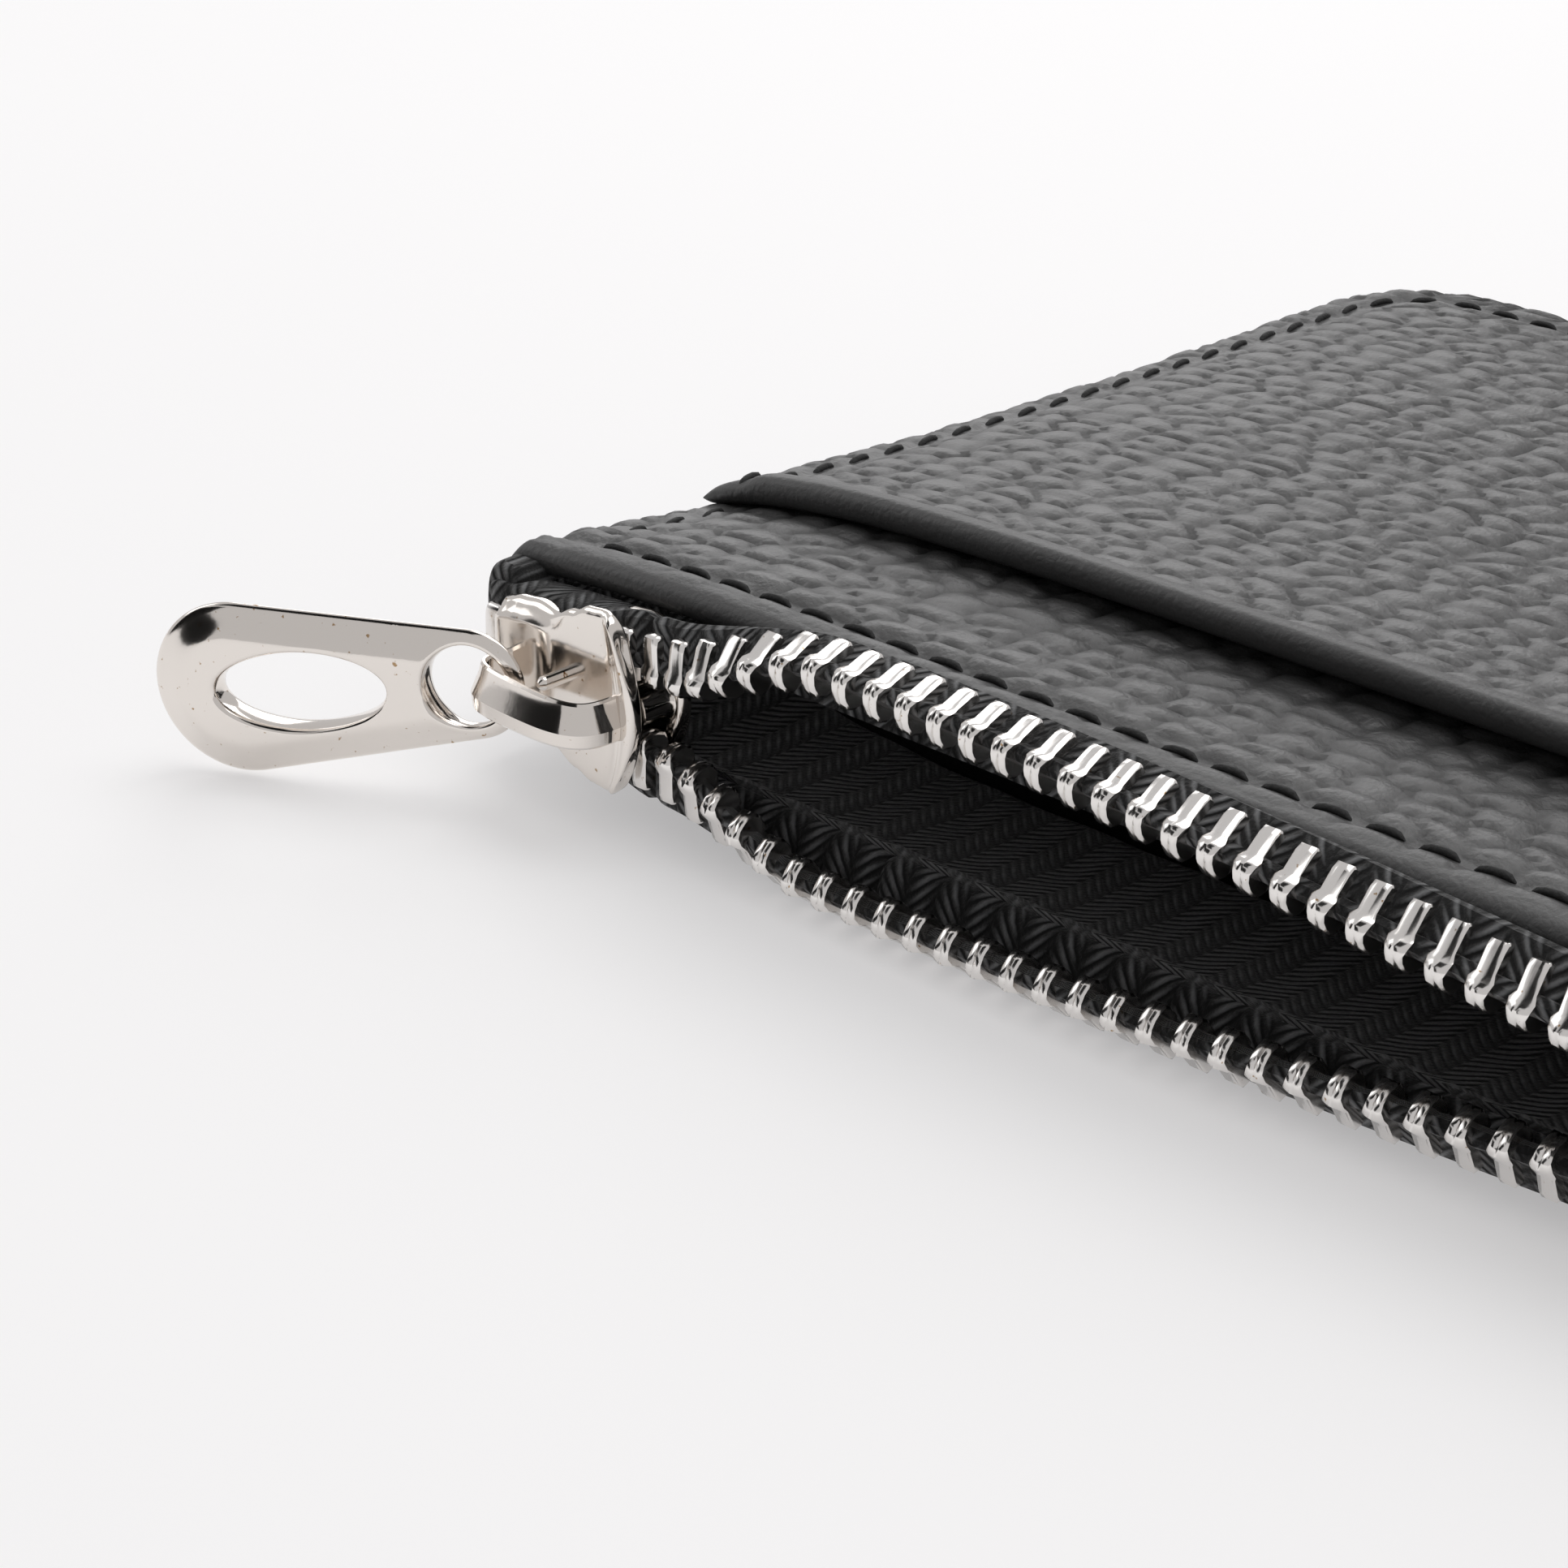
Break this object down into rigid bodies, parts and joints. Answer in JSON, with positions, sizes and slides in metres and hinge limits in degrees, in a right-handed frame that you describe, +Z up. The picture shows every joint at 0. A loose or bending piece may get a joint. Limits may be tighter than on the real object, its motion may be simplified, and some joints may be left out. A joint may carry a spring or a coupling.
{
  "type": "coin purse",
  "caption": "Flat zipped leather coin purse lying on its back, with an outer card pocket, a metal zip drawn open and a teardrop pull.",
  "frame": {"origin": "on the resting face, under the middle of the purse", "axes": "+X along the zip towards its closed end, +Y from the zip to the far edge, +Z up from the table"},
  "size_m": [0.1356, 0.0977, 0.0152],
  "materials": {
    "leather": "pebbled, semi-matt",
    "lining": "plain weave",
    "zip_tape": "herringbone tape",
    "nickel_teeth": "polished nickel",
    "nickel_slider": "polished nickel",
    "thread": "waxed thread"
  },
  "bodies": {
    "root": {"front_panel": "leather", "back_panel": "leather", "card_pocket": "leather", "front_lining": "lining", "back_lining": "lining", "end_stop": "nickel_teeth", "left_tape_end": "zip_tape", "right_tape_end": "zip_tape", "upper_zip_stitches": "thread", "lower_zip_stitches": "thread", "hem_stitches": "thread", "edge_stitches": "thread"},
    "slider": {"slider_body": "nickel_slider", "slider_arch": "nickel_slider"},
    "lock": {"lock_pin": "nickel_slider"},
    "pull": {"pull_tab": "nickel_slider"},
    "upper_lip": {"upper_top_stop": "nickel_teeth"},
    "upper_row": {"upper_tape": "zip_tape", "upper_edge_cord": "zip_tape", "upper_teeth": "nickel_teeth"},
    "lower_lip": {"lower_top_stop": "nickel_teeth"},
    "lower_row": {"lower_tape": "zip_tape", "lower_edge_cord": "zip_tape", "lower_teeth": "nickel_teeth"}
  },
  "joints": [
    {"name": "slider_travel", "type": "slide", "parent": "root", "child": "slider", "axis": [1, 0, 0], "range_m": [0, 0.1]},
    {"name": "upper_lip_close", "type": "slide", "parent": "root", "child": "upper_lip", "axis": [0, 0, -1], "range_m": [0, 0.00171]},
    {"name": "upper_row_turn", "type": "hinge", "parent": "upper_lip", "child": "upper_row", "pos_m": [0, -0.041, 0.0125], "axis": [1, 0, 0], "range_deg": [0, 75], "deforming": ["upper_tape", "upper_edge_cord", "upper_teeth"]},
    {"name": "lower_lip_close", "type": "slide", "parent": "root", "child": "lower_lip", "axis": [0, 0, 1], "range_m": [0, 0.00171]},
    {"name": "lower_row_turn", "type": "hinge", "parent": "lower_lip", "child": "lower_row", "pos_m": [0, -0.041, 0.0021], "axis": [-1, 0, 0], "range_deg": [0, 52], "deforming": ["lower_tape", "lower_edge_cord", "lower_teeth"]},
    {"name": "pull_swing", "type": "hinge", "parent": "slider", "child": "pull", "pos_m": [-0.0547, -0.04625, 0.00755], "axis": [0, 0, 1], "range_deg": [-28, 80]},
    {"name": "lock_pin_lift", "type": "slide", "parent": "slider", "child": "lock", "axis": [0, -1, 0], "range_m": [-0.0003, 0.0006]}
  ],
  "couplings": [
    {"joint": "upper_lip_close", "follows": "slider_travel", "ratio": 0.017},
    {"joint": "upper_row_turn", "follows": "slider_travel", "rad_per_m": 13.08},
    {"joint": "lower_lip_close", "follows": "slider_travel", "ratio": 0.017},
    {"joint": "lower_row_turn", "follows": "slider_travel", "rad_per_m": 9.07},
    {"joint": "lock_pin_lift", "follows": "pull_swing", "m_per_rad": 0.0004}
  ]
}
